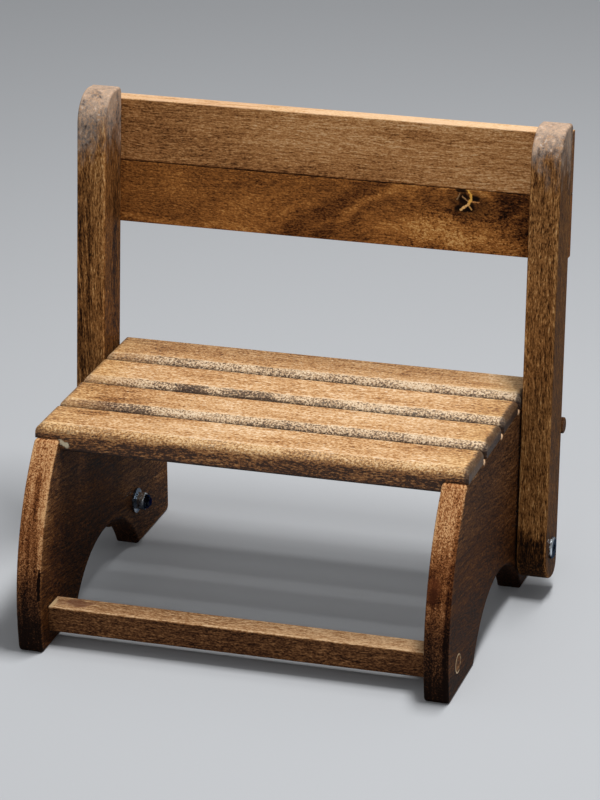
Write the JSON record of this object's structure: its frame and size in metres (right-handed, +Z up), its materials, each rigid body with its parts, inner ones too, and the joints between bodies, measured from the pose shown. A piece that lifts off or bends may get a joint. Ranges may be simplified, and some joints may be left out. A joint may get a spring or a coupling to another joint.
{
  "type": "flip chair step stool",
  "caption": "Low child's chair with a slatted seat whose hinged back swings forward and down to become the lower step of a two-step stool.",
  "frame": {"origin": "on the floor, under the middle of the space that the stool takes with its back up", "axes": "+X to the right of someone who stands in front of the seat, +Y to the rear, +Z up"},
  "size_m": [0.388, 0.2946, 0.3683],
  "materials": {
    "panel_wood": "walnut stain on hardwood, worn satin",
    "slat_wood": "walnut stain worn to golden tan on top, satin",
    "upright_wood": "walnut stain with dark streaks, worn pale at the top",
    "back_board_upper_wood": "medium brown stain, fine grain, satin",
    "back_board_lower_wood": "orange brown stain, swirling figure, satin",
    "stretcher_wood": "brown stain, worn pale on the top face",
    "dowel_wood": "brown stain, end grain",
    "plug_wood": "brown stain, pale rim",
    "zinc_steel": "bright zinc plate"
  },
  "bodies": {
    "seat_frame": {"front_stretcher": "stretcher_wood", "lock_nut_left": "zinc_steel", "lock_nut_right": "zinc_steel", "nut_washer_left": "zinc_steel", "nut_washer_right": "zinc_steel", "pivot_bolt_left": "zinc_steel", "pivot_bolt_right": "zinc_steel", "seat_slat_1": "slat_wood", "seat_slat_2": "slat_wood", "seat_slat_3": "slat_wood", "seat_slat_4": "slat_wood", "side_panel_left": "panel_wood", "side_panel_right": "panel_wood", "slat_pins_left": "plug_wood", "slat_pins_right": "plug_wood", "spacer_washer_left": "zinc_steel", "spacer_washer_right": "zinc_steel", "stop_dowel": "dowel_wood", "stretcher_plug_left": "plug_wood", "stretcher_plug_right": "plug_wood", "stretcher_screw_left": "zinc_steel", "stretcher_screw_right": "zinc_steel"},
    "back_frame": {"upright_left": "upright_wood", "upright_right": "upright_wood", "back_board_upper": "back_board_upper_wood", "back_board_lower": "back_board_lower_wood", "back_board_screws": "zinc_steel", "back_board_plugs": "plug_wood"}
  },
  "joints": [
    {"name": "back_flip", "type": "hinge", "parent": "seat_frame", "child": "back_frame", "pos_m": [0, 0.0686, 0.039], "axis": [1, 0, 0], "range_deg": [0, 98.5]}
  ]
}
